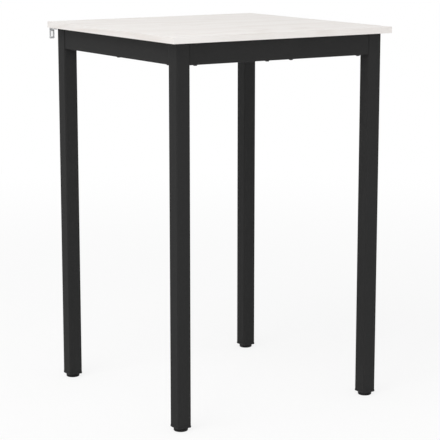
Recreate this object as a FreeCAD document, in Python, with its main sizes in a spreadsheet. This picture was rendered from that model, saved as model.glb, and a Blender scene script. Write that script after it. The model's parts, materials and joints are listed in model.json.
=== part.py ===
import FreeCAD, Part
import math
import os
from types import SimpleNamespace

import Sketcher
from FreeCAD import Placement, Rotation, Vector

# A small square bar table. Its board rests on a frame of square legs and rectangular rails.
# The rails slide over short spigots on the legs and are locked from below by screws.
# Bolts through the rails hold the board, and a screw foot in each leg levels the table.
# The origin is on the floor under the middle of the board, the front faces -Y, and +Z is up.

SIZES = {
    # The board and its edge
    "board_length": 600,
    "board_width": 600,
    "board_thickness": 15,
    "band_thickness": 1,
    "band_rounding": 0.6,
    "table_height": 900,
    "overhang": 18,
    # The legs
    "leg_width": 35,
    "leg_wall": 1.5,
    "leg_rounding": 3,
    # The rails and the spigots inside their ends
    "rail_height": 50,
    "rail_depth": 25,
    "rail_wall": 1.5,
    "rail_rounding": 2.5,
    "rail_end_gap": 0.3,
    "rail_setback": 2,
    "spigot_length": 40,
    "spigot_wall": 2,
    "spigot_rounding": 2.5,
    "spigot_clearance": 0.3,
    "spigot_lead_in": 0.8,
    # The frame screws and top bolts, and what they turn in
    "frame_screw_setback": 22,
    "frame_screw_length": 10,
    "top_bolt_spacing": 66,
    "top_bolt_grip": 10,
    "bolt_diameter": 5,
    "bolt_head_diameter": 9.5,
    "bolt_head_height": 2.75,
    "bolt_head_rounding": 1.6,
    "bolt_key_width": 3,
    "bolt_key_depth": 1.6,
    "bolt_hole_clearance": 0.4,
    "thread_clearance": 0.05,
    "frame_nut_width": 8,
    "frame_nut_height": 4.5,
    "insert_diameter": 9,
    "insert_length": 11,
    "insert_barb_depth": 0.5,
    "insert_barb_count": 4,
    "insert_clearance": 0.05,
    "insert_hole_spare": 1,
    # The plug in the lower end of each leg
    "plug_flange": 4,
    "plug_flange_lip": 0.7,
    "plug_flange_rounding": 0.8,
    "plug_depth": 22,
    "plug_wall": 2,
    "plug_clearance": 0.4,
    "plug_corner_rounding": 1.2,
    "plug_boss_diameter": 19,
    "plug_web": 1.8,
    "plug_fin_height": 1,
    "plug_fin_setback": 5,
    "plug_fin_span": 12,
    "plug_fin_count": 3,
    "foot_nut_width": 13,
    "foot_nut_height": 6.5,
    "foot_nut_recess": 1,
    "foot_nut_clearance": 0.1,
    # The screw foot
    "foot_height": 8,
    "foot_gap": 0.3,
    "pad_diameter": 33,
    "pad_edge_rounding": 2.2,
    "pad_top_chamfer": 0.8,
    "pad_sole": 1.8,
    "pad_lip": 0.6,
    "pad_key_hole_diameter": 7,
    "stud_diameter": 8,
    "stud_length": 34,
    "stud_tip_chamfer": 1,
    "stud_head_diameter": 16,
    "stud_head_height": 2.5,
    "stud_head_clearance": 0.3,
    "stud_key_width": 5,
    "stud_key_depth": 4,
    "stud_bore_clearance": 0.5,
    # The small slotted bracket under the back left corner of the board
    "bracket_width": 13,
    "bracket_thickness": 2,
    "bracket_drop": 27,
    "bracket_reach": 28,
    "bracket_bend": 2,
    "bracket_corner_rounding": 2,
    "bracket_inset": 3.2,
    "bracket_slot_width": 5,
    "bracket_slot_length": 14,
    "bracket_slot_margin": 4.5,
    "bracket_hole_setback": 12,
    "bracket_hole_pitch": 10,
    "wood_screw_diameter": 3.5,
    "wood_screw_length": 12,
    "wood_screw_point": 4,
    "wood_screw_head_diameter": 7,
    "wood_screw_head_height": 2,
    "wood_screw_hole_clearance": 0.35,
    "wood_screw_pilot_clearance": 0.05,
    "wood_screw_pilot_spare": 1,
    # How far a cut runs past the wall that it opens
    "overrun": 1,
}

FRONT, RIGHT, BACK, LEFT = 0, 90, 180, 270
SIDES = {"front": FRONT, "right": RIGHT, "back": BACK, "left": LEFT}
CORNERS = {"front_left": (-1, -1), "front_right": (1, -1), "back_left": (-1, 1), "back_right": (1, 1)}
STRAIGHT_SHARE = 0.999


class Size:
    """A length that keeps the sheet expression that it is worked out by."""

    def __init__(self, text, value):
        self.text = text
        self.value = value

    def joined(self, sign, other, value):
        return Size(f"({self.text} {sign} {other.text})", value)

    def __add__(self, other):
        return self.joined("+", other, self.value + other.value)

    def __sub__(self, other):
        return self.joined("-", other, self.value - other.value)

    def __mul__(self, count):
        return Size(f"({self.text} * {count!r})", self.value * count)

    def __truediv__(self, count):
        return Size(f"({self.text} / {count!r})", self.value / count)

    def __neg__(self):
        return self * -1

    __rmul__ = __mul__


ZERO = Size("0", 0.0)


def read_sheet(doc):
    """Fills the sheet of driving dimensions and hands back each one as a Size."""
    sheet = doc.addObject("Spreadsheet::Sheet", "sizes")
    for row, (name, value) in enumerate(SIZES.items(), start=1):
        sheet.set(f"A{row}", name)
        sheet.set(f"B{row}", str(value))
        sheet.setAlias(f"B{row}", name)
    doc.recompute()
    return SimpleNamespace(**{name: Size(f"sizes.{name}", float(sheet.get(name))) for name in SIZES})


def tie(thing, name, size):
    thing.setExpression(name, size.text)


# Sketch geometry

def new_sketch(body, name, plane="XY_Plane", offset=ZERO):
    sketch = body.newObject("Sketcher::SketchObject", f"{body.Label}_{name}")
    support = next(item for item in body.Origin.OriginFeatures if item.Role == plane)
    sketch.AttachmentSupport = [(support, "")]
    sketch.MapMode = "FlatFace"
    tie(sketch, "AttachmentOffset.Base.z", offset)
    return sketch


def add_datum(sketch, size, *constraint):
    index = sketch.addConstraint(Sketcher.Constraint(*constraint, size.value))
    tie(sketch, f"Constraints[{index}]", size)


def place_point(sketch, curve, point, spot):
    """Ties a point of a sketch to a spot measured from the sketch's origin."""
    for kind, in_line, distance in zip(("DistanceX", "DistanceY"), ("Vertical", "Horizontal"), spot):
        if distance is ZERO:
            sketch.addConstraint(Sketcher.Constraint(in_line, -1, 1, curve, point))
        else:
            add_datum(sketch, distance, kind, -1, 1, curve, point)


def draw_outline(sketch, corners):
    """Draws a closed outline of straight lines, with each corner tied to its spot."""
    points = [Vector(x.value, y.value, 0) for x, y in corners]
    count = len(corners)
    first = sketch.GeometryCount
    for index, point in enumerate(points):
        sketch.addGeometry(Part.LineSegment(point, points[(index + 1) % count]))
    for index, corner in enumerate(corners):
        next_line = first + (index + 1) % count
        sketch.addConstraint(Sketcher.Constraint("Coincident", first + index, 2, next_line, 1))
        place_point(sketch, first + index, 1, corner)


def draw_circle(sketch, radius, spot=(ZERO, ZERO)):
    centre = Vector(spot[0].value, spot[1].value, 0)
    circle = sketch.addGeometry(Part.Circle(centre, Vector(0, 0, 1), radius.value))
    add_datum(sketch, radius, "Radius", circle)
    place_point(sketch, circle, 3, spot)


def draw_rounded_rectangle(sketch, width, height, rounding):
    """Draws a rectangle with rounded corners about the sketch's origin, anticlockwise from its foot."""
    half_width, half_height, radius = width.value / 2, height.value / 2, rounding.value
    inner_x, inner_y = half_width - radius, half_height - radius
    lines, arcs = [], []
    for quarter, (x, y) in enumerate(((inner_x, -inner_y), (inner_x, inner_y),
                                      (-inner_x, inner_y), (-inner_x, -inner_y))):
        run = Rotation(Vector(0, 0, 1), 90 * quarter)
        out = run.multVec(Vector(0, -radius, 0))
        along = (inner_x if quarter % 2 == 0 else inner_y) * 2
        end = Vector(x, y, 0) + out
        start = end - run.multVec(Vector(along, 0, 0))
        lines.append(sketch.addGeometry(Part.LineSegment(start, end)))
        corner = Part.Circle(Vector(x, y, 0), Vector(0, 0, 1), radius)
        angle = math.radians(90 * quarter)
        arcs.append(sketch.addGeometry(Part.ArcOfCircle(corner, angle - math.pi / 2, angle)))
    for quarter in range(4):
        side = "Horizontal" if quarter % 2 == 0 else "Vertical"
        following = lines[(quarter + 1) % 4]
        sketch.addConstraint(Sketcher.Constraint("Tangent", lines[quarter], 2, arcs[quarter], 1))
        sketch.addConstraint(Sketcher.Constraint("Tangent", arcs[quarter], 2, following, 1))
        sketch.addConstraint(Sketcher.Constraint(side, lines[quarter]))
        if quarter:
            sketch.addConstraint(Sketcher.Constraint("Equal", arcs[0], arcs[quarter]))
    sketch.addConstraint(Sketcher.Constraint("Symmetric", arcs[0], 3, arcs[2], 3, -1, 1))
    add_datum(sketch, rounding, "Radius", arcs[0])
    add_datum(sketch, width, "DistanceX", lines[3], 1, lines[1], 1)
    add_datum(sketch, height, "DistanceY", lines[0], 1, lines[2], 1)


def draw_hexagon(sketch, width):
    """Draws a hexagon of the given width across its flats, about the sketch's origin."""
    corner_share = 1 / math.sqrt(3)
    half = width / 2
    across = width * corner_share
    draw_outline(sketch, [(across, ZERO), (across / 2, half), (-across / 2, half),
                          (-across, ZERO), (-across / 2, -half), (across / 2, -half)])


def draw_slot(sketch, width, length, middle):
    """Draws an upright slot with round ends, its middle at the given height above the sketch's origin."""
    radius = width / 2
    reach = length / 2 - radius
    ends = []
    for side in (1, -1):
        centre = Vector(0, middle.value + side * reach.value, 0)
        start = 0 if side > 0 else math.pi
        arc = Part.ArcOfCircle(Part.Circle(centre, Vector(0, 0, 1), radius.value), start, start + math.pi)
        ends.append(sketch.addGeometry(arc))
        place_point(sketch, ends[-1], 3, (ZERO, middle + reach * side))
    for top, bottom in ((ends[0], ends[1]), (ends[1], ends[0])):
        start = sketch.getPoint(top, 2)
        line = sketch.addGeometry(Part.LineSegment(start, sketch.getPoint(bottom, 1)))
        sketch.addConstraint(Sketcher.Constraint("Tangent", top, 2, line, 1))
        sketch.addConstraint(Sketcher.Constraint("Tangent", line, 2, bottom, 1))
    add_datum(sketch, radius, "Radius", ends[0])


# Features of a body

def new_body(doc, name, x=ZERO, y=ZERO, z=ZERO, facing=FRONT):
    body = doc.addObject("PartDesign::Body", name)
    body.Placement = Placement(Vector(), Rotation(Vector(0, 0, 1), facing))
    for axis, distance in zip("xyz", (x, y, z)):
        tie(body, f"Placement.Base.{axis}", distance)
    return body


def add_pad(body, sketch, length, about_middle=False):
    pad = body.newObject("PartDesign::Pad", f"{sketch.Label}_pad")
    pad.Profile = sketch
    pad.SideType = "Symmetric" if about_middle else "One side"
    tie(pad, "Length", length)
    return pad


def add_pocket(body, sketch, depth, about_middle=False):
    """Cuts the sketch out of the body along the sketch's own normal, and checks that it did."""
    body.Document.recompute()
    before = body.Shape.Volume
    pocket = body.newObject("PartDesign::Pocket", f"{sketch.Label}_pocket")
    pocket.Profile = sketch
    pocket.SideType = "Symmetric" if about_middle else "One side"
    pocket.Reversed = True
    tie(pocket, "Length", depth)
    body.Document.recompute()
    if not body.Shape.Volume < before:
        raise ValueError(f"{pocket.Label} cuts nothing")
    return pocket


def add_turned(body, sketch):
    """Turns the sketch about its own upright axis."""
    turned = body.newObject("PartDesign::Revolution", f"{sketch.Label}_turned")
    turned.Profile = sketch
    turned.ReferenceAxis = (sketch, ["V_Axis"])
    return turned


def round_edges(body, radius, wanted, kind="Fillet"):
    """Rounds, or chamfers, the edges of the body's last feature that the test picks."""
    body.Document.recompute()
    base = body.Tip
    names = [f"Edge{index}" for index, edge in enumerate(base.Shape.Edges, start=1) if wanted(edge)]
    edge_feature = body.newObject(f"PartDesign::{kind}", f"{base.Label}_{kind.lower()}")
    edge_feature.Base = (base, names)
    tie(edge_feature, "Radius" if kind == "Fillet" else "Size", radius)


def edge_box(edge):
    return edge.BoundBox


def runs_along(edge, axis):
    """True for a straight edge along the given axis."""
    lengths = {"x": edge_box(edge).XLength, "y": edge_box(edge).YLength, "z": edge_box(edge).ZLength}
    return edge.Curve.TypeId == "Part::GeomLine" and lengths[axis] > edge.Length * STRAIGHT_SHARE


def close_to(value, size, allowance):
    return abs(value - size.value) < allowance.value


def turned_place(facing, x, y):
    """Where a spot of the front side lies on the side that the facing names."""
    return {FRONT: (x, y), RIGHT: (-y, x), BACK: (-x, -y), LEFT: (y, -x)}[facing]


def group(doc, name, master, places):
    """One sub-part made of several equal pieces, each a link to the master at its own place."""
    links = []
    for index, (x, y, z) in enumerate(places, start=1):
        link = doc.addObject("App::Link", f"{name}_{index}")
        link.LinkedObject = master
        for axis, distance in zip("xyz", (x, y, z)):
            tie(link, f"Placement.Base.{axis}", distance)
        links.append(link)
    compound = doc.addObject("Part::Compound", name)
    compound.Links = links
    return compound


# Sizes worked out from the sheet

def work_out(s):
    """Adds the places and sizes that several pieces share."""
    s.board_underside = s.table_height - s.board_thickness
    s.leg_x = s.board_length / 2 - s.overhang - s.leg_width / 2
    s.leg_y = s.board_width / 2 - s.overhang - s.leg_width / 2
    s.leg_foot = s.foot_height + s.plug_flange
    s.leg_inside = s.leg_width - s.leg_wall * 2
    s.rail_middle_z = s.board_underside - s.rail_height / 2
    s.rail_bottom = s.board_underside - s.rail_height
    s.rail_x = s.leg_x + s.leg_width / 2 - s.rail_setback - s.rail_depth / 2
    s.rail_y = s.leg_y + s.leg_width / 2 - s.rail_setback - s.rail_depth / 2
    s.bolt_hole = s.bolt_diameter / 2 + s.bolt_hole_clearance
    s.spigot_height = s.rail_height - (s.rail_wall + s.spigot_clearance) * 2
    s.spigot_depth = s.rail_depth - (s.rail_wall + s.spigot_clearance) * 2
    s.insert_hole = s.insert_diameter / 2 + s.insert_clearance
    s.stud_seat = s.pad_sole
    s.stud_head_top = s.pad_sole + s.stud_head_height
    s.foot_nut_bottom = s.foot_height + s.foot_nut_recess
    s.bracket_x = -(s.board_length / 2 - s.bracket_inset - s.bracket_width / 2)
    s.bracket_y = s.board_width / 2 - s.bracket_inset
    # Along each side: half the distance between the faces of its legs, and how far out its rail lies
    s.half_span = {FRONT: s.leg_x - s.leg_width / 2, RIGHT: s.leg_y - s.leg_width / 2}
    s.half_span.update({BACK: s.half_span[FRONT], LEFT: s.half_span[RIGHT]})
    s.rail_out = {FRONT: s.rail_y, RIGHT: s.rail_x, BACK: s.rail_y, LEFT: s.rail_x}
    s.top_bolt_spots = {FRONT: (-s.top_bolt_spacing / 2, s.top_bolt_spacing / 2), RIGHT: (ZERO,),
                        BACK: (-s.top_bolt_spacing / 2, s.top_bolt_spacing / 2), LEFT: (ZERO,)}
    s.top_bolt_places = [turned_place(side, along, -s.rail_out[side])
                         for side in SIDES.values() for along in s.top_bolt_spots[side]]
    s.frame_screw_places = [turned_place(side, (s.half_span[side] - s.frame_screw_setback) * end,
                                         -s.rail_out[side])
                            for side in SIDES.values() for end in (-1, 1)]
    s.wood_screw_places = [(s.bracket_x, s.bracket_y - s.bracket_hole_setback - s.bracket_hole_pitch * step)
                           for step in range(2)]


# The board

def make_board(doc, s):
    """The board without its edge bands, with the blind holes for the inserts and the bracket's screws."""
    body = new_body(doc, "table_top", z=s.board_underside)
    blank = new_sketch(body, "blank")
    half_length = s.board_length / 2 - s.band_thickness
    half_width = s.board_width / 2 - s.band_thickness
    draw_outline(blank, [(-half_length, -half_width), (half_length, -half_width),
                         (half_length, half_width), (-half_length, half_width)])
    add_pad(body, blank, s.board_thickness)
    for name, places, radius, depth in (
            ("insert_holes", s.top_bolt_places, s.insert_hole, s.insert_length + s.insert_hole_spare),
            ("pilot_holes", s.wood_screw_places, s.wood_screw_diameter / 2 + s.wood_screw_pilot_clearance,
             s.wood_screw_length - s.bracket_thickness + s.wood_screw_pilot_spare)):
        holes = new_sketch(body, name)
        for place in places:
            draw_circle(holes, radius, place)
        add_pocket(body, holes, depth)
    return body


def make_edge_band(doc, s, side):
    """A strip glued to one edge of the board. The front and back strips cover the ends of the others."""
    facing = SIDES[side]
    if facing in (FRONT, BACK):
        out, length = s.board_width / 2, s.board_length
    else:
        out, length = s.board_length / 2, s.board_width - s.band_thickness * 2
    x, y = turned_place(facing, ZERO, -out)
    body = new_body(doc, f"{side}_edge_band", x, y, s.board_underside, facing)
    strip = new_sketch(body, "strip")
    draw_outline(strip, [(-length / 2, ZERO), (length / 2, ZERO),
                         (length / 2, s.band_thickness), (-length / 2, s.band_thickness)])
    add_pad(body, strip, s.board_thickness)
    round_edges(body, s.band_rounding,
                lambda edge: runs_along(edge, "x") and close_to(edge_box(edge).YMax, ZERO, s.band_rounding))
    return body


# The frame

def make_leg(doc, s, corner):
    """A square tube from the flange of its foot plug up to the board."""
    x_side, y_side = CORNERS[corner]
    body = new_body(doc, f"{corner}_leg", s.leg_x * x_side, s.leg_y * y_side, s.leg_foot)
    section = new_sketch(body, "section")
    draw_rounded_rectangle(section, s.leg_width, s.leg_width, s.leg_rounding)
    draw_rounded_rectangle(section, s.leg_inside, s.leg_inside, s.leg_rounding - s.leg_wall)
    add_pad(body, section, s.board_underside - s.leg_foot)
    return body


def make_rail(doc, s, side):
    """A rectangular tube between two legs, a little behind their outer faces, drilled from below."""
    facing = SIDES[side]
    x, y = turned_place(facing, ZERO, -s.rail_out[facing])
    body = new_body(doc, f"{side}_rail", x, y, s.rail_middle_z, facing)
    section = new_sketch(body, "section", "YZ_Plane")
    draw_rounded_rectangle(section, s.rail_depth, s.rail_height, s.rail_rounding)
    draw_rounded_rectangle(section, s.rail_depth - s.rail_wall * 2, s.rail_height - s.rail_wall * 2,
                           s.rail_rounding - s.rail_wall)
    add_pad(body, section, (s.half_span[facing] - s.rail_end_gap) * 2, about_middle=True)
    screw_spot = s.half_span[facing] - s.frame_screw_setback
    below = -(s.rail_height / 2 + s.overrun)
    for name, spots, depth in (
            ("screw_holes", (-screw_spot, screw_spot), s.rail_wall + s.overrun * 2),
            ("bolt_holes", s.top_bolt_spots[facing], s.rail_height + s.overrun * 2)):
        holes = new_sketch(body, name, offset=below)
        for spot in spots:
            draw_circle(holes, s.bolt_hole, (spot, ZERO))
        add_pocket(body, holes, depth)
    return body


def make_spigot(doc, s, side, end):
    """The short tube welded to a leg's face, over which one end of a rail slides."""
    facing = SIDES[side]
    sign = -1 if end < 0 else 1
    x, y = turned_place(facing, s.half_span[facing] * sign, -s.rail_out[facing])
    away_from_leg = (facing if sign < 0 else facing + BACK) % 360
    end_name = {FRONT: ("left", "right"), RIGHT: ("front", "back"),
                BACK: ("right", "left"), LEFT: ("back", "front")}[facing][sign > 0]
    body = new_body(doc, f"{side}_rail_{end_name}_spigot", x, y, s.rail_middle_z, away_from_leg)
    section = new_sketch(body, "section", "YZ_Plane")
    draw_rounded_rectangle(section, s.spigot_depth, s.spigot_height, s.spigot_rounding)
    draw_rounded_rectangle(section, s.spigot_depth - s.spigot_wall * 2, s.spigot_height - s.spigot_wall * 2,
                           s.spigot_rounding - s.spigot_wall)
    add_pad(body, section, s.spigot_length)
    hole = new_sketch(body, "screw_hole", offset=-(s.spigot_height / 2 + s.overrun))
    draw_circle(hole, s.bolt_hole, (s.frame_screw_setback, ZERO))
    add_pocket(body, hole, s.spigot_wall + s.overrun * 2)
    outside = s.spigot_depth / 2 - s.spigot_wall / 2
    inside_z = s.spigot_height / 2 - s.spigot_wall / 2

    def lead_in(edge):
        box = edge_box(edge)
        at_end = close_to(box.XMin, s.spigot_length, s.spigot_clearance)
        reach_y = max(abs(box.YMin), abs(box.YMax))
        reach_z = max(abs(box.ZMin), abs(box.ZMax))
        return at_end and (reach_y > outside.value or reach_z > inside_z.value)

    round_edges(body, s.spigot_lead_in, lead_in, "Chamfer")
    return body


# Screws, bolts and nuts

def make_bolt(doc, s, name, length):
    """A pan-head bolt with a hexagon socket. Its head hangs below the origin and its shank points up."""
    body = new_body(doc, name)
    profile = new_sketch(body, "profile", "XZ_Plane")
    draw_outline(profile, [(ZERO, -s.bolt_head_height), (s.bolt_head_diameter / 2, -s.bolt_head_height),
                           (s.bolt_head_diameter / 2, ZERO), (s.bolt_diameter / 2, ZERO),
                           (s.bolt_diameter / 2, length), (ZERO, length)])
    add_turned(body, profile)
    round_edges(body, s.bolt_head_rounding,
                lambda edge: close_to(edge_box(edge).ZMax, -s.bolt_head_height, s.thread_clearance)
                and edge.Curve.TypeId == "Part::GeomCircle")
    socket = new_sketch(body, "socket", offset=-(s.bolt_head_height + s.overrun))
    draw_hexagon(socket, s.bolt_key_width)
    add_pocket(body, socket, s.bolt_key_depth + s.overrun)
    return body


def make_nut(doc, name, width, height, bore):
    """A hexagon nut that stands on the origin."""
    body = new_body(doc, name)
    blank = new_sketch(body, "blank")
    draw_hexagon(blank, width)
    draw_circle(blank, bore)
    add_pad(body, blank, height)
    return body


def make_insert(doc, s):
    """A threaded insert with rings of barbs, which stands on the origin."""
    body = new_body(doc, "insert_master")
    profile = new_sketch(body, "profile", "XZ_Plane")
    bore = s.bolt_diameter / 2 + s.thread_clearance
    outer = s.insert_diameter / 2
    root = outer - s.insert_barb_depth
    count = round(s.insert_barb_count.value)
    pitch = s.insert_length / count
    corners = [(bore, ZERO)]
    for ring in range(count):
        corners += [(outer, pitch * ring if ring else ZERO), (root, pitch * (ring + 1))]
    corners.append((bore, s.insert_length))
    draw_outline(profile, corners)
    add_turned(body, profile)
    return body


def make_wood_screw(doc, s):
    """A pan-head wood screw. Its head hangs below the origin and its point is up."""
    body = new_body(doc, "wood_screw_master")
    profile = new_sketch(body, "profile", "XZ_Plane")
    head, shank = s.wood_screw_head_diameter / 2, s.wood_screw_diameter / 2
    shoulder = s.wood_screw_length - s.wood_screw_point
    draw_outline(profile, [(ZERO, -s.wood_screw_head_height), (head / 2, -s.wood_screw_head_height),
                           (head, -s.wood_screw_head_height / 2), (head, ZERO), (shank, ZERO),
                           (shank, shoulder), (ZERO, s.wood_screw_length)])
    add_turned(body, profile)
    return body


def make_fasteners(doc, s):
    """The groups of equal fasteners, each a node of separate solids."""
    thread = s.bolt_diameter / 2 + s.thread_clearance
    frame_screw = make_bolt(doc, s, "frame_screw_master", s.frame_screw_length)
    top_bolt = make_bolt(doc, s, "top_bolt_master", s.rail_height + s.top_bolt_grip)
    frame_nut = make_nut(doc, "frame_nut_master", s.frame_nut_width, s.frame_nut_height, thread)
    foot_thread = s.stud_diameter / 2 + s.thread_clearance
    foot_nut = make_nut(doc, "foot_nut_master", s.foot_nut_width, s.foot_nut_height, foot_thread)
    insert = make_insert(doc, s)
    wood_screw = make_wood_screw(doc, s)
    spigot_floor = s.rail_bottom + s.rail_wall + s.spigot_clearance + s.spigot_wall
    feet = [(s.leg_x * x_side, s.leg_y * y_side) for x_side, y_side in CORNERS.values()]
    return [group(doc, name, master, [(x, y, z) for x, y in places]) for name, master, places, z in (
        ("frame_screws", frame_screw, s.frame_screw_places, s.rail_bottom),
        ("frame_nuts", frame_nut, s.frame_screw_places, spigot_floor),
        ("top_bolts", top_bolt, s.top_bolt_places, s.rail_bottom),
        ("top_inserts", insert, s.top_bolt_places, s.board_underside),
        ("foot_nuts", foot_nut, feet, s.foot_nut_bottom),
        ("bracket_screws", wood_screw, s.wood_screw_places, s.board_underside - s.bracket_thickness))]


# The feet

def make_foot_plug(doc, s, corner):
    """The moulded plug in the end of a leg. A flange with a lip closes the tube, fins grip it from
    inside, and webs carry a boss that holds the nut of the screw foot."""
    x_side, y_side = CORNERS[corner]
    body = new_body(doc, f"{corner}_foot_plug", s.leg_x * x_side, s.leg_y * y_side, s.foot_height)
    flange = new_sketch(body, "flange")
    flange_width = s.leg_width + s.plug_flange_lip * 2
    draw_rounded_rectangle(flange, flange_width, flange_width, s.leg_rounding + s.plug_flange_lip)
    add_pad(body, flange, s.plug_flange)
    round_edges(body, s.plug_flange_rounding,
                lambda edge: close_to(edge_box(edge).ZMax, ZERO, s.plug_flange_rounding))

    sleeve_width = s.leg_inside - s.plug_clearance * 2
    sleeve = new_sketch(body, "sleeve", offset=s.plug_flange)
    draw_rounded_rectangle(sleeve, sleeve_width, sleeve_width, s.plug_corner_rounding + s.plug_wall)
    draw_rounded_rectangle(sleeve, sleeve_width - s.plug_wall * 2, sleeve_width - s.plug_wall * 2,
                           s.plug_corner_rounding)
    add_pad(body, sleeve, s.plug_depth)
    boss = new_sketch(body, "boss", offset=s.plug_flange)
    draw_circle(boss, s.plug_boss_diameter / 2)
    add_pad(body, boss, s.plug_depth)
    half_run, half_web = sleeve_width / 2 - s.plug_wall / 2, s.plug_web / 2
    for name, run, across in (("web_x", half_run, half_web), ("web_y", half_web, half_run)):
        web = new_sketch(body, name, offset=s.plug_flange)
        draw_outline(web, [(-run, -across), (run, -across), (run, across), (-run, across)])
        add_pad(body, web, s.plug_depth)

    fins = new_sketch(body, "fins", offset=s.plug_flange + s.plug_fin_setback)
    draw_rounded_rectangle(fins, s.leg_inside, s.leg_inside, s.leg_rounding - s.leg_wall)
    fin_hole = sleeve_width - s.plug_wall
    draw_rounded_rectangle(fins, fin_hole, fin_hole, s.plug_corner_rounding)
    fin = add_pad(body, fins, s.plug_fin_height)
    rows = body.newObject("PartDesign::LinearPattern", f"{body.Label}_fin_rows")
    rows.Originals = [fin]
    rows.Direction = (fins, ["N_Axis"])
    tie(rows, "Occurrences", s.plug_fin_count)
    tie(rows, "Length", s.plug_fin_span)
    body.Tip = rows

    seat = new_sketch(body, "nut_seat", offset=-s.overrun)
    draw_hexagon(seat, s.foot_nut_width + s.foot_nut_clearance * 2)
    add_pocket(body, seat, s.foot_nut_recess + s.foot_nut_height + s.overrun)
    bore = new_sketch(body, "bore", offset=-s.overrun)
    draw_circle(bore, s.stud_diameter / 2 + s.stud_bore_clearance)
    add_pocket(body, bore, s.plug_flange + s.plug_depth + s.overrun * 2)
    return body


def make_foot_stud(doc, s, corner):
    """The threaded stud. Its round head turns in the pad, and a key reaches its socket from below."""
    x_side, y_side = CORNERS[corner]
    body = new_body(doc, f"{corner}_foot_stud", s.leg_x * x_side, s.leg_y * y_side, s.stud_seat)
    profile = new_sketch(body, "profile", "XZ_Plane")
    head, shank = s.stud_head_diameter / 2, s.stud_diameter / 2
    tip = s.stud_head_height + s.stud_length
    draw_outline(profile, [(ZERO, ZERO), (head, ZERO), (head, s.stud_head_height),
                           (shank, s.stud_head_height), (shank, tip - s.stud_tip_chamfer),
                           (shank - s.stud_tip_chamfer, tip), (ZERO, tip)])
    add_turned(body, profile)
    socket = new_sketch(body, "socket", offset=-s.overrun)
    draw_hexagon(socket, s.stud_key_width)
    add_pocket(body, socket, s.stud_key_depth + s.overrun)
    return body


def make_foot_pad(doc, s, corner):
    """The round pad on the floor, with the socket that the stud's head is snapped into."""
    x_side, y_side = CORNERS[corner]
    body = new_body(doc, f"{corner}_foot_pad", s.leg_x * x_side, s.leg_y * y_side)
    profile = new_sketch(body, "profile", "XZ_Plane")
    outside = s.pad_diameter / 2
    top = s.foot_height - s.foot_gap
    key_hole = s.pad_key_hole_diameter / 2
    socket = s.stud_head_diameter / 2 + s.stud_head_clearance
    socket_top = s.stud_head_top + s.stud_head_clearance
    throat = s.stud_head_diameter / 2 - s.pad_lip
    draw_outline(profile, [(key_hole, ZERO), (outside, ZERO), (outside, top - s.pad_top_chamfer),
                           (outside - s.pad_top_chamfer, top), (throat, top), (throat, socket_top),
                           (socket, socket_top), (socket, s.pad_sole), (key_hole, s.pad_sole)])
    add_turned(body, profile)
    round_edges(body, s.pad_edge_rounding,
                lambda edge: close_to(edge_box(edge).ZMax, ZERO, s.foot_gap)
                and close_to(edge_box(edge).XMax, outside, s.foot_gap))
    return body


# The corner bracket

def make_corner_bracket(doc, s):
    """A bent strip under the board's back left corner. Its upright leaf has a slot."""
    body = new_body(doc, "corner_bracket", s.bracket_x, s.bracket_y, s.board_underside)
    profile = new_sketch(body, "profile", "YZ_Plane")
    thickness = s.bracket_thickness
    draw_outline(profile, [(ZERO, ZERO), (ZERO, -s.bracket_drop), (-thickness, -s.bracket_drop),
                           (-thickness, -thickness), (-s.bracket_reach, -thickness),
                           (-s.bracket_reach, ZERO)])
    add_pad(body, profile, s.bracket_width, about_middle=True)
    for spot, radius in ((ZERO, s.bracket_bend + thickness), (thickness, s.bracket_bend)):
        round_edges(body, radius, lambda edge: runs_along(edge, "x")
                    and close_to(edge_box(edge).YMax, -spot, s.overrun / 2)
                    and close_to(edge_box(edge).ZMax, -spot, s.overrun / 2))
    round_edges(body, s.bracket_corner_rounding,
                lambda edge: edge.Length < thickness.value + s.overrun.value / 2
                and (close_to(edge_box(edge).ZMax, -s.bracket_drop, s.overrun / 2)
                     or close_to(edge_box(edge).YMax, -s.bracket_reach, s.overrun / 2)))
    slot = new_sketch(body, "slot", "XZ_Plane", offset=-s.overrun)
    middle = -(s.bracket_drop - s.bracket_slot_margin - s.bracket_slot_length / 2)
    draw_slot(slot, s.bracket_slot_width, s.bracket_slot_length, middle)
    add_pocket(body, slot, thickness + s.overrun * 2)
    holes = new_sketch(body, "screw_holes", offset=-(thickness + s.overrun))
    for step in range(2):
        spot = -(s.bracket_hole_setback + s.bracket_hole_pitch * step)
        draw_circle(holes, s.wood_screw_diameter / 2 + s.wood_screw_hole_clearance, (ZERO, spot))
    add_pocket(body, holes, thickness + s.overrun * 2)
    return body


# Building and writing

def build(doc):
    s = read_sheet(doc)
    work_out(s)
    pieces = [make_board(doc, s)]
    pieces += [make_edge_band(doc, s, side) for side in SIDES]
    pieces += [make_leg(doc, s, corner) for corner in CORNERS]
    pieces += [make_rail(doc, s, side) for side in SIDES]
    pieces += [make_spigot(doc, s, side, end) for side in SIDES for end in (-1, 1)]
    pieces += make_fasteners(doc, s)
    for make in (make_foot_plug, make_foot_stud, make_foot_pad):
        pieces += [make(doc, s, corner) for corner in CORNERS]
    pieces.append(make_corner_bracket(doc, s))
    return pieces


def check(doc, pieces):
    """Stops before anything is written if an object failed or a piece has no sound shape."""
    doc.recompute()
    failed = [item.Label for item in doc.Objects if "Invalid" in item.State or "Error" in item.State]
    failed += [piece.Label for piece in pieces if piece.Shape.isNull() or not piece.Shape.isValid()]
    if failed:
        raise ValueError("failed: " + ", ".join(failed))


def main():
    doc = FreeCAD.newDocument("bar_table")
    pieces = build(doc)
    check(doc, pieces)
    os.makedirs("parts", exist_ok=True)
    for piece in pieces:
        piece.Shape.exportStep(f"parts/{piece.Label}.step")
        print(piece.Label, len(piece.Shape.Solids), "solids", round(piece.Shape.Volume), "mm3")


main()
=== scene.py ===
import json
import math

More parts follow.
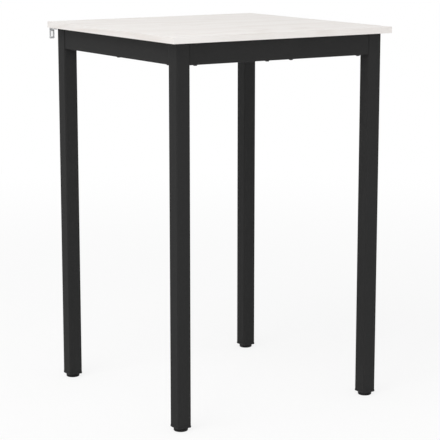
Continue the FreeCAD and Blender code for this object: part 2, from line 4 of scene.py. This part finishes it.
import bmesh
import bpy
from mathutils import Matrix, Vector

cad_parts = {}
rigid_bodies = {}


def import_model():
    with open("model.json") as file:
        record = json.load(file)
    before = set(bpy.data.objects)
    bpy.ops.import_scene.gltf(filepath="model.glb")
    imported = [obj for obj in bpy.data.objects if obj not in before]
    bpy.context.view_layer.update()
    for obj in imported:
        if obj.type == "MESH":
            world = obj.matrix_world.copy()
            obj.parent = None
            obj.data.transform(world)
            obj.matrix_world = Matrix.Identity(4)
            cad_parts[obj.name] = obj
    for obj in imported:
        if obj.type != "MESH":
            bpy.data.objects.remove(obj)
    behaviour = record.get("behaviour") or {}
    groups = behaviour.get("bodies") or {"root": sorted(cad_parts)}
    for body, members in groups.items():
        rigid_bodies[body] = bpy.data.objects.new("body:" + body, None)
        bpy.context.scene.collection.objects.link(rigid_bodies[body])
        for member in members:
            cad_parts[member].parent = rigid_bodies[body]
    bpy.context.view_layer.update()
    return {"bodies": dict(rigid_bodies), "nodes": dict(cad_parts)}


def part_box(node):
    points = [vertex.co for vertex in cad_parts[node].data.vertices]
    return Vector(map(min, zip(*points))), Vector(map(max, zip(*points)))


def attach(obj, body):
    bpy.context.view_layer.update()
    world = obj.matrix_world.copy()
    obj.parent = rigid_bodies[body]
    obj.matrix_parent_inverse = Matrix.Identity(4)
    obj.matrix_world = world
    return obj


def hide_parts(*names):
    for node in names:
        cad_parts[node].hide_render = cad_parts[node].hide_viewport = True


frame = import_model()

MM = 0.001
CORNERS = ("front_left", "front_right", "back_left", "back_right")
WHITE = (1.0, 1.0, 1.0, 1.0)


# Shader maths

# The Mix node's sockets for colours share their names with those for numbers, so they go by place.
MIX_MASK, MIX_LOW, MIX_HIGH, MIX_RESULT = 0, 6, 7, 2

SRGB_KNEE = 0.04045
SRGB_SLOPE = 12.92
SRGB_OFFSET = 0.055
SRGB_POWER = 2.4


class Wire:
    """A socket of a node tree. Sums on it add Math nodes to the tree."""

    def __init__(self, tree, socket):
        self.tree = tree
        self.socket = socket

    def maths(self, operation, first, second):
        return self.tree.add("Math", {0: first, 1: second}, operation=operation)

    def __add__(self, other):
        return self.maths("ADD", self, other)

    def __sub__(self, other):
        return self.maths("SUBTRACT", self, other)

    def __rsub__(self, other):
        return self.maths("SUBTRACT", other, self)

    def __mul__(self, other):
        return self.maths("MULTIPLY", self, other)

    __radd__ = __add__

    def wave(self):
        """A sine wave between 0 and 1, with one crest for each unit."""
        sine = self.tree.add("Math", {0: self * (2 * math.pi)}, operation="SINE")
        return sine * 0.5 + 0.5

    def between(self, low, high):
        """0 below low, 1 above high and a smooth step from one to the other."""
        sockets = {"Value": self, "From Min": low, "From Max": high}
        return self.tree.add("MapRange", sockets, interpolation_type="SMOOTHSTEP")


class Tree:
    """The nodes of a material or of the surround."""

    def __init__(self, holder):
        holder.use_nodes = True
        self.nodes = holder.node_tree.nodes
        self.links = holder.node_tree.links

    def add(self, kind, sockets=None, output=0, **settings):
        """Adds a node: its settings come first, then the values or links of its sockets."""
        node = self.nodes.new("ShaderNode" + kind)
        for name, value in settings.items():
            setattr(node, name, value)
        for name, value in (sockets or {}).items():
            self.feed(node.inputs[name], value)
        return Wire(self, node.outputs[output])

    def feed(self, socket, value):
        """Links a wire to the socket, or sets it to a plain value."""
        if isinstance(value, Wire):
            self.links.new(value.socket, socket)
        else:
            socket.default_value = value

    def seen(self):
        """1 where the camera, a reflection or a view through something looks at this."""
        camera, glossy, through = [self.add("LightPath", output=f"Is {kind} Ray")
                                   for kind in ("Camera", "Glossy", "Transmission")]
        return self.add("Math", {0: camera + glossy, 1: through}, operation="ADD", use_clamp=True)


class Finish(Tree):
    """A material that ends in one Principled shader, on which its uniform values are set."""

    def __init__(self, name, uniform):
        self.material = bpy.data.materials.new(name)
        super().__init__(self.material)
        self.shader = self.nodes["Principled BSDF"]
        for socket, value in uniform.items():
            self.feed(self.shader.inputs[socket], value)

    def place(self, cells):
        """The object's own coordinates, in cells: so many to a metre along X, Y and Z."""
        metres = self.add("TexCoord", output="Object")
        return self.add("VectorMath", {0: metres, 1: cells}, operation="MULTIPLY")

    def noise(self, cells, detail, roughness=0.5, distortion=0.0):
        """Noise between 0 and 1, with so many cells to a metre along X, Y and Z."""
        sockets = {"Vector": self.place(cells), "Scale": 1.0, "Detail": detail,
                   "Roughness": roughness, "Distortion": distortion}
        return self.add("TexNoise", sockets, "Fac")

    def tint(self, mask, low, high):
        """A colour that runs from low, where the mask is 0, to high, where it is 1."""
        sockets = {MIX_MASK: mask, MIX_LOW: low, MIX_HIGH: high}
        return self.add("Mix", sockets, MIX_RESULT, data_type="RGBA", clamp_factor=True)

    def paint(self, colour):
        self.feed(self.shader.inputs["Base Color"], colour)

    def polish(self, roughness):
        self.feed(self.shader.inputs["Roughness"], roughness)

    def emboss(self, height, depth):
        """Raises the surface by the height, 0 to 1, times the depth in metres."""
        relief = self.add("Bump", {"Height": height, "Strength": 1.0, "Distance": depth})
        self.feed(self.shader.inputs["Normal"], relief)


def even(cells):
    """The same number of cells along each axis."""
    return (cells, cells, cells)


def shade(red, green, blue):
    """A colour written as screen values from 0 to 255, which follow the sRGB curve."""
    def linear(value):
        share = value / 255
        if share <= SRGB_KNEE:
            return share / SRGB_SLOPE
        return ((share + SRGB_OFFSET) / (1 + SRGB_OFFSET)) ** SRGB_POWER
    return (linear(red), linear(green), linear(blue), 1.0)


# Finishes, in which a number that multiplies a noise says how much that noise counts

GRAIN_PALE = shade(242, 239, 236)
GRAIN_WARM = shade(235, 230, 226)
GRAIN_LINE = shade(220, 212, 205)
GRAIN_RINGS = 15
COAT_DARK = shade(37, 37, 37)
# The pale coat colour is also the painted highlight on the raised tops of the coat's pips.
COAT_PALE = shade(54, 54, 54)
OXIDE_DARK = shade(26, 26, 27)
OXIDE_PALE = shade(44, 43, 42)


def wood_print(name, along, roughness):
    """A pale wood decor with long arched grain, fine fibres and short pores, run along X or Y."""
    finish = Finish(name, {"Specular IOR Level": 0.12})

    def grain(length, width):
        return (length, width, width) if along == "X" else (width, length, width)

    drift = finish.noise(grain(1.1, 5.5), detail=1.5, roughness=0.45, distortion=0.2)
    rings = (drift * GRAIN_RINGS).wave()
    broad = finish.noise(grain(0.8, 11), detail=3)
    fibres = finish.noise(grain(9, 620), detail=3, roughness=0.6)
    streaks = finish.noise(grain(2.2, 85), detail=4, roughness=0.55)
    pores = finish.noise(grain(55, 1900), detail=1).between(0.60, 0.72)
    warmth = broad.between(0.3, 0.7) * 0.55 + streaks.between(0.35, 0.75) * 0.45
    ground = finish.tint(warmth, GRAIN_PALE, GRAIN_WARM)
    lines = rings.between(0.55, 1.0) * streaks.between(0.25, 0.65) * 0.30
    marks = lines + fibres.between(0.5, 0.8) * 0.16 + pores * rings * 0.30
    finish.paint(finish.tint(marks, ground, GRAIN_LINE))
    finish.polish(roughness + fibres * 0.10 + pores * 0.10)
    finish.emboss(1 - pores * 0.8 - fibres * 0.4, depth=0.05 * MM)
    return finish.material


def powder_coat(name):
    """Black powder coat: a fine orange peel with small pips and a faint cloud in its gloss and
    tone. The raised tops of the pips are painted paler: a painted highlight.
    The cells put no face of the tubes on a lattice plane of the noise, where it would be faint."""
    finish = Finish(name, {"Specular IOR Level": 0.045})
    peel = finish.noise(even(501), detail=2, roughness=0.45)
    pips_and_painted_glints = finish.noise(even(2038), detail=3, roughness=0.7)
    cloud = finish.noise((9, 9, 5), detail=3)
    # The colour is an uneven tone from the cloud, with the pips' raised tops painted paler: a
    # painted highlight.
    finish.paint(finish.tint(cloud * 0.3 + pips_and_painted_glints.between(0.35, 0.65) * 0.7, COAT_DARK, COAT_PALE))
    finish.polish(0.42 + cloud * 0.10 + pips_and_painted_glints * 0.14)
    finish.emboss(peel * 0.5 + pips_and_painted_glints * 0.5, depth=0.2 * MM)
    return finish.material


def moulded_plastic(name, dark, pale, cells, specular):
    """Black moulded plastic with a fine spark-eroded grain, of so many cells to a metre."""
    finish = Finish(name, {"Specular IOR Level": specular})
    pits = finish.noise(even(cells), detail=2, roughness=0.6)
    flow = finish.noise((60, 60, 120), detail=2, distortion=0.6)
    finish.paint(finish.tint(flow * 0.6 + pits * 0.4, dark, pale))
    finish.polish(0.44 + pits * 0.16 + flow * 0.06)
    finish.emboss(pits, depth=0.05 * MM)
    return finish.material


def zinc_plate(name, dark, pale, metallic=1.0):
    """Plated or bare steel, slightly cloudy, with fine rolling marks."""
    finish = Finish(name, {"Metallic": metallic})
    cloud = finish.noise(even(90), detail=3, roughness=0.6)
    rolled = finish.noise((2600, 160, 160), detail=2)
    finish.paint(finish.tint(cloud * 0.7 + rolled * 0.3, dark, pale))
    finish.polish(0.30 + cloud * 0.14 + rolled * 0.10)
    finish.emboss(rolled * 0.5 + cloud * 0.5, depth=0.02 * MM)
    return finish.material


def black_oxide(name):
    """Blackened screw steel, a little uneven in tone and gloss."""
    finish = Finish(name, {"Specular IOR Level": 0.3, "Metallic": 0.3})
    cloud = finish.noise(even(240), detail=3)
    finish.paint(finish.tint(cloud, OXIDE_DARK, OXIDE_PALE))
    finish.polish(0.36 + cloud * 0.16)
    finish.emboss(cloud, depth=0.02 * MM)
    return finish.material


FINISHES = {
    "board": wood_print("pale_wood_melamine", along="X", roughness=0.40),
    "edge_x": wood_print("edge_strip_along_x", along="X", roughness=0.44),
    "edge_y": wood_print("edge_strip_along_y", along="Y", roughness=0.44),
    "frame": powder_coat("black_powder_coat"),
    "plug": moulded_plastic("plug_plastic", dark=shade(20, 20, 21), pale=shade(31, 31, 31),
                            cells=1500, specular=0.26),
    "pad": moulded_plastic("pad_plastic", dark=shade(9, 9, 9), pale=shade(18, 18, 18),
                           cells=1100, specular=0.18),
    "zinc": zinc_plate("zinc_plate", dark=shade(150, 152, 155), pale=shade(196, 198, 200)),
    "steel": zinc_plate("mill_steel", dark=shade(96, 97, 99), pale=shade(138, 138, 139)),
    "bracket": zinc_plate("dull_zinc_plate", dark=shade(206, 207, 208), pale=shade(236, 237, 238),
                          metallic=0.1),
    "screw": black_oxide("black_screw_steel"),
}
FINISH_WORDS = {
    "table_top": "board", "spigot": "steel", "frame_nuts": "steel", "plug": "plug", "pad": "pad",
    "stud": "zinc", "foot_nuts": "zinc", "insert": "zinc", "bracket": "bracket",
    "frame_screws": "screw", "top_bolts": "screw", "leg": "frame", "rail": "frame",
}


def finish_of(node):
    """The finish of a CAD node. The first of the finish words that is in its name decides."""
    if node.endswith("edge_band"):
        return FINISHES["edge_x" if node.startswith(("front", "back")) else "edge_y"]
    return FINISHES[next(finish for word, finish in FINISH_WORDS.items() if word in node)]


for node, part in frame["nodes"].items():
    part.data.materials.clear()
    part.data.materials.append(finish_of(node))


# Turned and threaded pieces

TURN_STEPS = 48
WELD_DISTANCE = 0.001 * MM
CREASE_ANGLE = math.radians(35)

# How far up the pitch each row of a thread lies, and whether it is on the crest or on the root.
CREST_END = 0.14
ROOT_START = 0.5
THREAD_ROWS = ((0.0, True), (CREST_END, True), (ROOT_START, False), (ROOT_START + CREST_END, False))


def even_angles(count):
    return [2 * math.pi * step / count for step in range(count)]


def hexagon_reach(width):
    """How far out a hexagon lies at an angle. It is as wide as given across its flats."""
    sector = math.pi / 3
    return lambda angle: width / 2 / math.cos((angle + sector) % sector - sector / 2)


def cross_reach(arm, half_width):
    """How far out a cross lies at an angle, from the length of its arms and half their width."""
    def reach(angle):
        turn = abs((angle + math.pi / 4) % (math.pi / 2) - math.pi / 4)
        on_arm_end = math.tan(turn) * arm <= half_width
        return arm / math.cos(turn) if on_arm_end else half_width / math.sin(turn)
    return reach


def angles_with_cross(arm, half_width):
    """Even angles, with those of the corners of a cross among them."""
    corner = math.atan2(half_width, arm)
    quarters = [math.pi / 2 * step for step in range(4)]
    corners = [(quarter + side) % (2 * math.pi)
               for quarter in quarters for side in (-corner, corner)]
    return sorted(even_angles(TURN_STEPS) + corners)


def value_at(rule, place):
    """What a rule gives at an angle or height. A plain number is the same everywhere."""
    return rule(place) if callable(rule) else rule


class Turning:
    """A closed mesh about an upright axis, made of rings from its foot to its head."""

    def __init__(self, angles):
        self.mesh = bmesh.new()
        self.angles = angles
        self.last = None

    def point(self, angle, out, height):
        return self.mesh.verts.new((out * math.cos(angle), out * math.sin(angle), height))

    def ring(self, reach, height):
        """Adds the next ring and joins it to the one before. Reach is a radius, or a rule of the
        angle. The first ring closes the mesh below."""
        ring = [self.point(angle, value_at(reach, angle), height) for angle in self.angles]
        if self.last:
            for step, corner in enumerate(ring):
                self.mesh.faces.new((self.last[step - 1], self.last[step], corner, ring[step - 1]))
        else:
            self.mesh.faces.new(reversed(ring))
        self.last = ring

    def thread(self, crest, root, bottom, top, pitch):
        """Adds a thread from the bottom to the top. Crest and root are radii, or rules of the
        height. Rows that start below the bottom or end above the top lie flat on it."""
        count = len(self.angles)
        turns = math.ceil((top - bottom) / pitch) + 2
        grid = []
        for turn in range(turns):
            for share, on_crest in THREAD_ROWS:
                row = []
                for step, angle in enumerate(self.angles):
                    height = bottom + pitch * (turn - 1 + share + step / count)
                    radius = crest if on_crest and bottom < height < top else root
                    height = min(max(height, bottom), top)
                    row.append(self.point(angle, value_at(radius, height), height))
                grid.append(row)
        for row, above in zip(grid, grid[1:]):
            for step in range(count - 1):
                self.mesh.faces.new((row[step], row[step + 1], above[step + 1], above[step]))
        next_turn = grid[len(THREAD_ROWS):]
        for row, above, row_start, above_start in zip(grid, grid[1:], next_turn, next_turn[1:]):
            self.mesh.faces.new((row[-1], row_start[0], above_start[0], above[-1]))
        self.last = [self.point(angle, value_at(root, top), top) for angle in self.angles]

    def close(self, name, place, material):
        """Closes the last ring and makes the piece, with its foot at the given place."""
        self.mesh.faces.new(self.last)
        bmesh.ops.remove_doubles(self.mesh, verts=self.mesh.verts, dist=WELD_DISTANCE)
        bmesh.ops.dissolve_degenerate(self.mesh, edges=self.mesh.edges, dist=WELD_DISTANCE)
        bmesh.ops.recalc_face_normals(self.mesh, faces=self.mesh.faces)
        bmesh.ops.translate(self.mesh, verts=self.mesh.verts, vec=place)
        mesh = bpy.data.meshes.new(name)
        self.mesh.to_mesh(mesh)
        self.mesh.free()
        mesh.shade_smooth()
        mesh.set_sharp_from_angle(angle=CREASE_ANGLE)
        mesh.materials.append(material)
        piece = bpy.data.objects.new(name, mesh)
        bpy.context.scene.collection.objects.link(piece)
        return piece


# The studs of the screw feet

STUD_HEAD = 2.5 * MM
STUD_RADIUS = 4.0 * MM
STUD_ROOT = 3.35 * MM
STUD_PITCH = 1.25 * MM
STUD_TIP = 1.0 * MM
STUD_BEVEL = 0.35 * MM
STUD_KEY = 5.0 * MM
STUD_KEY_DEPTH = 4.0 * MM
STUD_KEY_POINT = 0.1 * MM
STUD_KEY_MOUTH = STUD_KEY / 2 + STUD_BEVEL * 2


def make_stud(corner):
    """The threaded stud of one foot, with its round head and the hexagon socket in it."""
    low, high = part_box(f"{corner}_foot_stud")
    head = (high.x - low.x) / 2
    length = high.z - low.z
    thread_foot = STUD_HEAD + STUD_BEVEL * 2
    key = hexagon_reach(STUD_KEY)
    stud = Turning(even_angles(TURN_STEPS))
    stud.ring(STUD_KEY_POINT, STUD_KEY_DEPTH + STUD_BEVEL)
    stud.ring(key, STUD_KEY_DEPTH)
    stud.ring(key, STUD_BEVEL)
    stud.ring(STUD_KEY_MOUTH, 0.0)
    stud.ring(head - STUD_BEVEL, 0.0)
    stud.ring(head, STUD_BEVEL)
    stud.ring(head, STUD_HEAD - STUD_BEVEL)
    stud.ring(head - STUD_BEVEL, STUD_HEAD)
    stud.ring(STUD_RADIUS, STUD_HEAD)
    stud.ring(STUD_RADIUS, STUD_HEAD + STUD_BEVEL)
    stud.ring(STUD_ROOT, thread_foot)
    stud.thread(STUD_RADIUS, STUD_ROOT, thread_foot, length - STUD_TIP, STUD_PITCH)
    stud.ring(STUD_RADIUS - STUD_TIP, length)
    place = ((low.x + high.x) / 2, (low.y + high.y) / 2, low.z)
    piece = stud.close(f"{corner}_threaded_stud", place, FINISHES["zinc"])
    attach(piece, f"{corner}_foot_stud")
    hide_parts(f"{corner}_foot_stud")


for corner in CORNERS:
    make_stud(corner)


# The screws of the corner bracket, whose dome is given ring by ring in millimetres

WOOD_SCREW_DOME = ((2.3, 0.0), (2.8, 0.2), (3.2, 0.6), (3.45, 1.1), (3.5, 1.5), (3.4, 2.0))
WOOD_SCREW_HEAD = 2.0 * MM
WOOD_SCREW_SHANK = 1.7 * MM
WOOD_SCREW_CORE = 1.15 * MM
WOOD_SCREW_PITCH = 1.4 * MM
WOOD_SCREW_POINT = 4.0 * MM
WOOD_SCREW_TIP = 0.1 * MM
RECESS_ARM = 1.9 * MM
RECESS_HALF_WIDTH = 0.42 * MM
RECESS_DEPTH = 1.5 * MM
RECESS_FOOT_SHARE = 0.45


def make_wood_screws():
    """The two wood screws of the corner bracket, with a cross recess in each domed head."""
    low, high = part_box("bracket_screws")
    head = (high.x - low.x) / 2
    length = high.z - low.z
    point = length - WOOD_SCREW_POINT
    thread_foot = WOOD_SCREW_HEAD + WOOD_SCREW_PITCH

    def tapered(radius):
        """The radius up to the point, and from there on less and less to the tip."""
        def at_height(height):
            share = min(max((height - point) / WOOD_SCREW_POINT, 0.0), 1.0)
            return radius + (WOOD_SCREW_TIP - radius) * share
        return at_height

    recess_foot = cross_reach(RECESS_ARM * RECESS_FOOT_SHARE, RECESS_HALF_WIDTH * RECESS_FOOT_SHARE)
    recess = cross_reach(RECESS_ARM, RECESS_HALF_WIDTH)
    for side, middle in (("inner", low.y + head), ("outer", high.y - head)):
        screw = Turning(angles_with_cross(RECESS_ARM, RECESS_HALF_WIDTH))
        screw.ring(recess_foot, RECESS_DEPTH)
        screw.ring(recess, 0.0)
        for radius, height in WOOD_SCREW_DOME:
            screw.ring(radius * MM, height * MM)
        screw.ring(WOOD_SCREW_SHANK, WOOD_SCREW_HEAD)
        screw.ring(WOOD_SCREW_SHANK, thread_foot)
        screw.ring(WOOD_SCREW_CORE, thread_foot)
        screw.thread(tapered(WOOD_SCREW_SHANK), tapered(WOOD_SCREW_CORE), thread_foot, length,
                     WOOD_SCREW_PITCH)
        place = ((low.x + high.x) / 2, middle, low.z)
        piece = screw.close(f"{side}_bracket_wood_screw", place, FINISHES["bracket"])
        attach(piece, "frame")
        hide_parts("bracket_screws")


make_wood_screws()


# The stage, the light and the camera, with angles in degrees and the lamps' power in watts

FLOOR_REACH = 60.0
FLOOR_DROP = 0.2 * MM
FLOOR_WHITE = (0.96, 0.96, 0.96, 1.0)
NEAR_GLOW = 0.82
GLOW_START = 1.0
GLOW_FULL = 3.5
SKY_LIGHT = 0.60
CAMERA_PLACE = (-2.142, -3.355, 1.1785)
CAMERA_TURN = 32.70
CAMERA_TILT = 10.79
CAMERA_LENS = 134.8
CAMERA_CLIP_END = 100.0
LAMP_AIM = Vector((0.0, 0.0, 0.5))
LAMP_WIDTH = 2.6
LAMPS = {
    "side_lamp": ((-2.5, -0.88, 3.7), 66.0),
    "front_lamp": ((-1.0, -3.6, 1.6), 24.0),
    "right_lamp": ((1.6, -2.6, 3.6), 3.0),
}


def floor_finish():
    """White that takes the table's shadow. From the start of the glow to its full reach, both
    in metres, its own light hides more and more of that shadow. From below it is clear."""
    finish = Finish("white_floor",
                    {"Roughness": 1.0, "Specular IOR Level": 0.0, "Base Color": FLOOR_WHITE})
    place = finish.place(even(1.0))
    distance = finish.add("VectorMath", {0: place}, "Value", operation="LENGTH")
    far = distance.between(GLOW_START, GLOW_FULL)
    glow = finish.seen() * (far * (1 - NEAR_GLOW) + NEAR_GLOW)
    lit = Wire(finish, finish.shader.outputs["BSDF"])
    white = finish.add("Emission", {"Strength": 1.0})
    above = finish.add("MixShader", {0: glow, 1: lit, 2: white})
    from_below = finish.add("NewGeometry", output="Backfacing")
    clear = finish.add("BsdfTransparent")
    surface = finish.add("MixShader", {0: from_below, 1: above, 2: clear})
    finish.feed(finish.nodes["Material Output"].inputs["Surface"], surface)
    return finish.material


def make_floor():
    """The floor. It stays under the lowest foot pad, so that a foot that is screwed out still
    stands on it."""
    mesh = bpy.data.meshes.new("floor")
    sides = ((-1, -1), (1, -1), (1, 1), (-1, 1))
    mesh.from_pydata([(x * FLOOR_REACH, y * FLOOR_REACH, -FLOOR_DROP) for x, y in sides],
                     [], [(0, 1, 2, 3)])
    mesh.materials.append(floor_finish())
    floor = bpy.data.objects.new("floor", mesh)
    bpy.context.scene.collection.objects.link(floor)
    for corner in CORNERS:
        under_pad = floor.constraints.new("FLOOR")
        under_pad.target = frame["bodies"][f"{corner}_foot_pad"]
        under_pad.floor_location = "FLOOR_NEGATIVE_Z"


def make_surround():
    """An even white surround. What looks at it sees plain white."""
    world = bpy.data.worlds.new("surround")
    bpy.context.scene.world = world
    tree = Tree(world)
    sky = tree.nodes["Background"]
    tree.feed(sky.inputs["Color"], WHITE)
    tree.feed(sky.inputs["Strength"], tree.seen() * (1 - SKY_LIGHT) + SKY_LIGHT)


def make_camera():
    """The camera, at the photograph's viewing angle."""
    camera = bpy.data.cameras.new("camera")
    camera.lens = CAMERA_LENS
    camera.clip_end = CAMERA_CLIP_END
    body = bpy.data.objects.new("camera", camera)
    body.location = CAMERA_PLACE
    body.rotation_euler = (math.radians(90 - CAMERA_TILT), 0.0, math.radians(-CAMERA_TURN))
    bpy.context.scene.collection.objects.link(body)
    bpy.context.scene.camera = body


def add_lamp(name, place, power):
    """A wide soft lamp, aimed at the middle of the table."""
    lamp = bpy.data.lights.new(name, "AREA")
    lamp.size = LAMP_WIDTH
    lamp.energy = power
    body = bpy.data.objects.new(name, lamp)
    body.location = place
    body.rotation_euler = (LAMP_AIM - Vector(place)).to_track_quat("-Z", "Y").to_euler()
    bpy.context.scene.collection.objects.link(body)


make_floor()
make_surround()
make_camera()
bpy.context.scene.view_settings.view_transform = "Standard"
for lamp, (place, power) in LAMPS.items():
    add_lamp(lamp, place, power)
